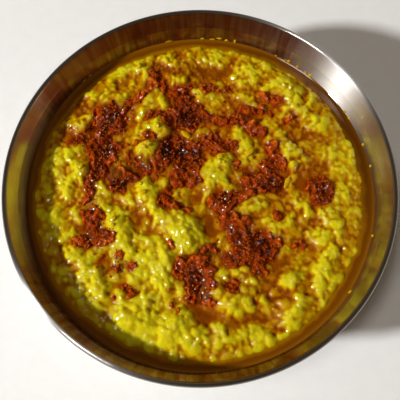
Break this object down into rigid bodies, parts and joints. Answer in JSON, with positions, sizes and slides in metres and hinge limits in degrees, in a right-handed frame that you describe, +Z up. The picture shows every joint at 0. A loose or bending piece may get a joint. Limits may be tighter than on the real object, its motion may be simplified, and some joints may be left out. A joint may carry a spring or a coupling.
{
  "type": "bowl of dal",
  "caption": "Thick yellow lentil dal in a flared spun steel bowl, with a ring of red oil at the wall and granular chilli tempering spooned over it.",
  "frame": {"origin": "on the bowl's axis, at the plane it stands on", "axes": "+Z up along the bowl's axis; -Y towards the diner; the bowl is round, so +X only orders the toppings"},
  "size_m": [0.2224, 0.2224, 0.0862],
  "materials": {
    "steel": "spun and polished, with fine turned lines",
    "dal": "wet lumpy lentil mash",
    "oil": "clear red-brown oil",
    "tempering": "wet granular chilli paste"
  },
  "bodies": {
    "root": {"bowl": "steel", "dal": "dal", "oil": "oil", "tadka_01": "tempering", "tadka_02": "tempering", "tadka_03": "tempering", "tadka_04": "tempering", "tadka_05": "tempering", "tadka_06": "tempering", "tadka_07": "tempering", "tadka_08": "tempering", "tadka_09": "tempering", "tadka_10": "tempering", "tadka_11": "tempering", "tadka_12": "tempering", "tadka_13": "tempering", "tadka_14": "tempering", "tadka_15": "tempering", "tadka_16": "tempering", "tadka_17": "tempering", "tadka_18": "tempering", "tadka_19": "tempering", "tadka_20": "tempering", "tadka_21": "tempering", "tadka_22": "tempering", "tadka_23": "tempering", "tadka_24": "tempering"}
  },
  "joints": []
}
